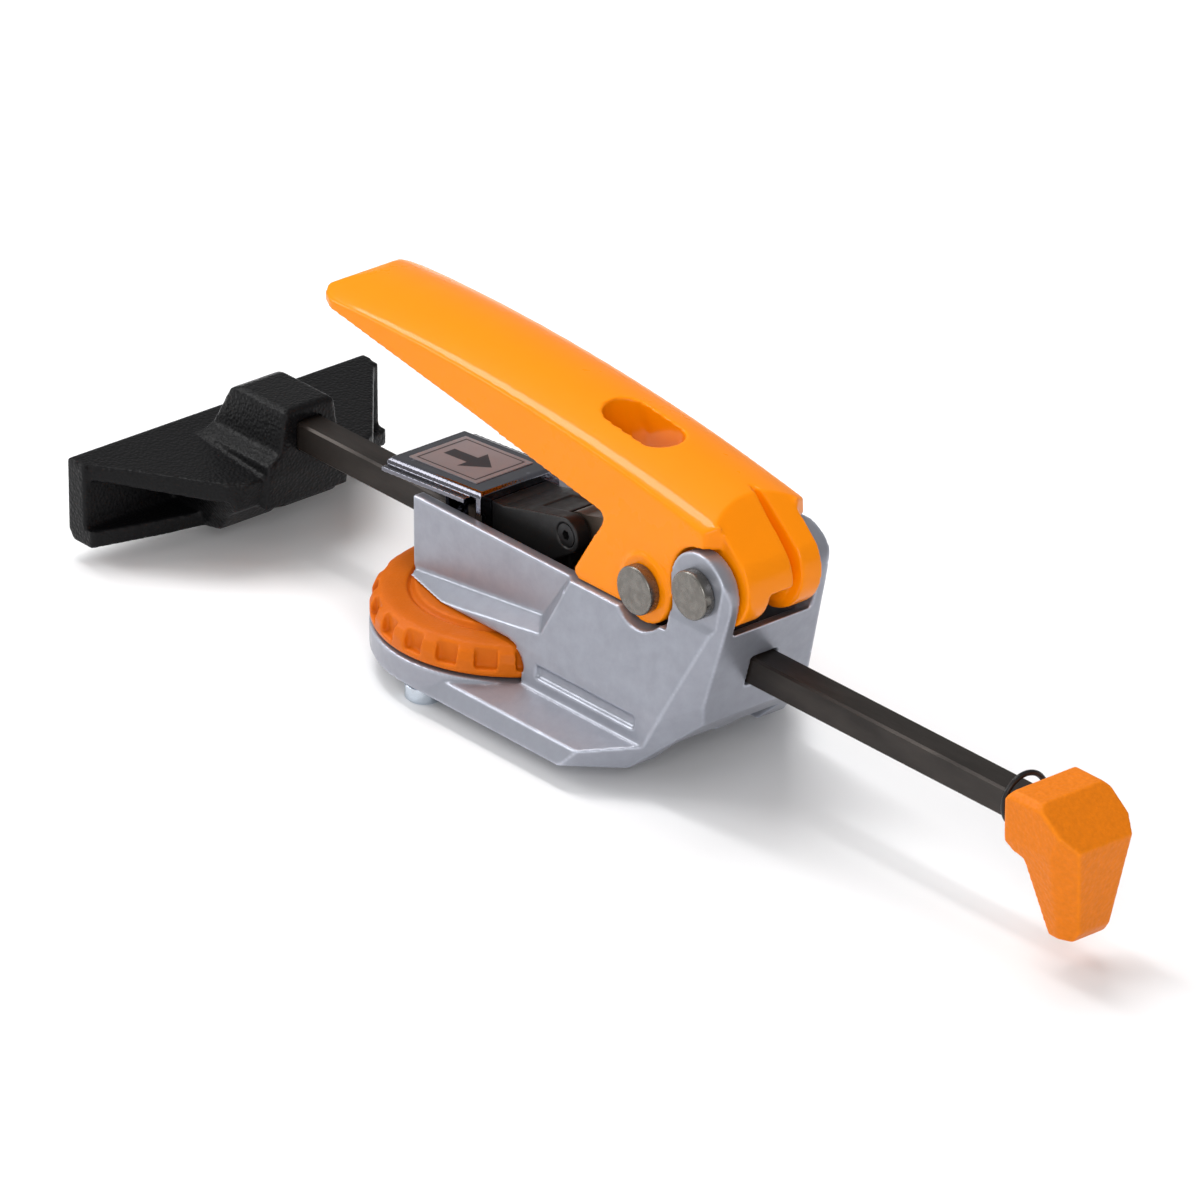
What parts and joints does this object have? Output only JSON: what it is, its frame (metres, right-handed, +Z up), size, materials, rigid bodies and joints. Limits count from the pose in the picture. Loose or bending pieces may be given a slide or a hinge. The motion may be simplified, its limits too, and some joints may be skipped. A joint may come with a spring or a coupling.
{
  "type": "t-track clamp",
  "caption": "Push clamp for a T-track: a toggle lever drives a gripping carriage that pushes a square bar and wide jaw; a thumb wheel draws track bolts tight under the cast base.",
  "frame": {"origin": "thumb wheel axis on the bottom plane of the base, where it rests on the track", "axes": "+X along the bar from the jaw to the rear knob, +Y across the base, +Z up out of the track"},
  "size_m": [0.3456, 0.099, 0.0912],
  "materials": {
    "casting_grey": "satin silver-grey paint on a casting",
    "lever_orange": "gloss orange paint",
    "wheel_orange": "fine grained moulded plastic",
    "knob_orange": "fine grained moulded plastic",
    "jaw_black": "grained moulded plastic",
    "bar_black": "blackened drawn steel",
    "pin_steel": "plain steel",
    "clip_steel": "bright steel",
    "bolt_zinc": "bluish zinc plating",
    "link_steel": "oiled plain steel",
    "carriage_black": "black coated casting",
    "cover_chrome": "black chrome",
    "label_grey": "plain printed film",
    "bush_bronze": "plain",
    "ring_black": "blackened spring wire"
  },
  "bodies": {
    "base": {"body": "casting_grey", "pivot_pin": "pin_steel", "pivot_clip": "clip_steel", "seat_washer": "clip_steel"},
    "lever": {"lever": "lever_orange", "pivot_bushes": "bush_bronze", "link_pin": "pin_steel", "link_clip": "clip_steel"},
    "carriage": {"carriage": "carriage_black", "clevis_pin": "pin_steel", "carriage_cover": "cover_chrome", "cover_label": "label_grey", "grip_spring": "clip_steel"},
    "grip": {"grip_plates": "link_steel"},
    "link": {"push_link": "link_steel"},
    "bar": {"bar": "bar_black", "jaw": "jaw_black", "jaw_pin": "pin_steel", "knob": "knob_orange", "knob_pin": "pin_steel", "stop_ring": "ring_black"},
    "wheel": {"thumb_wheel": "wheel_orange", "wheel_insert": "bush_bronze"},
    "yoke": {"draw_yoke": "pin_steel", "draw_stud": "pin_steel", "t_bolts": "bolt_zinc"}
  },
  "joints": [
    {"name": "lever_swing", "type": "hinge", "parent": "base", "child": "lever", "pos_m": [0.0904, 0, 0.0528], "axis": [0, 1, 0], "range_deg": [0, 65]},
    {"name": "carriage_slide", "type": "slide", "parent": "base", "child": "carriage", "axis": [1, 0, 0], "range_m": [0, 0.01545]},
    {"name": "link_swing", "type": "hinge", "parent": "carriage", "child": "link", "pos_m": [0.0294, 0, 0.0434], "axis": [0, 1, 0], "range_deg": [-35.5, 0]},
    {"name": "grip_tilt", "type": "hinge", "parent": "carriage", "child": "grip", "pos_m": [-0.002, 0, 0.0281], "axis": [0, 1, 0], "range_deg": [0, 3.05]},
    {"name": "bar_slide", "type": "slide", "parent": "carriage", "child": "bar", "axis": [1, 0, 0], "range_m": [-0.09, 0.03]},
    {"name": "wheel_spin", "type": "hinge", "parent": "base", "child": "wheel", "pos_m": [0, 0, 0.0077], "axis": [0, 0, 1], "range_deg": [-72, 960]},
    {"name": "yoke_slide", "type": "slide", "parent": "base", "child": "yoke", "axis": [0, 0, 1], "range_m": [-0.00402, 0.00031]}
  ],
  "couplings": [
    {"joint": "carriage_slide", "follows": "lever_swing", "m_per_rad": 0.013562},
    {"joint": "link_swing", "follows": "lever_swing", "ratio": -0.5435},
    {"joint": "grip_tilt", "follows": "lever_swing", "ratio": 0.046154},
    {"joint": "yoke_slide", "follows": "wheel_spin", "m_per_rad": -0.00023873}
  ]
}
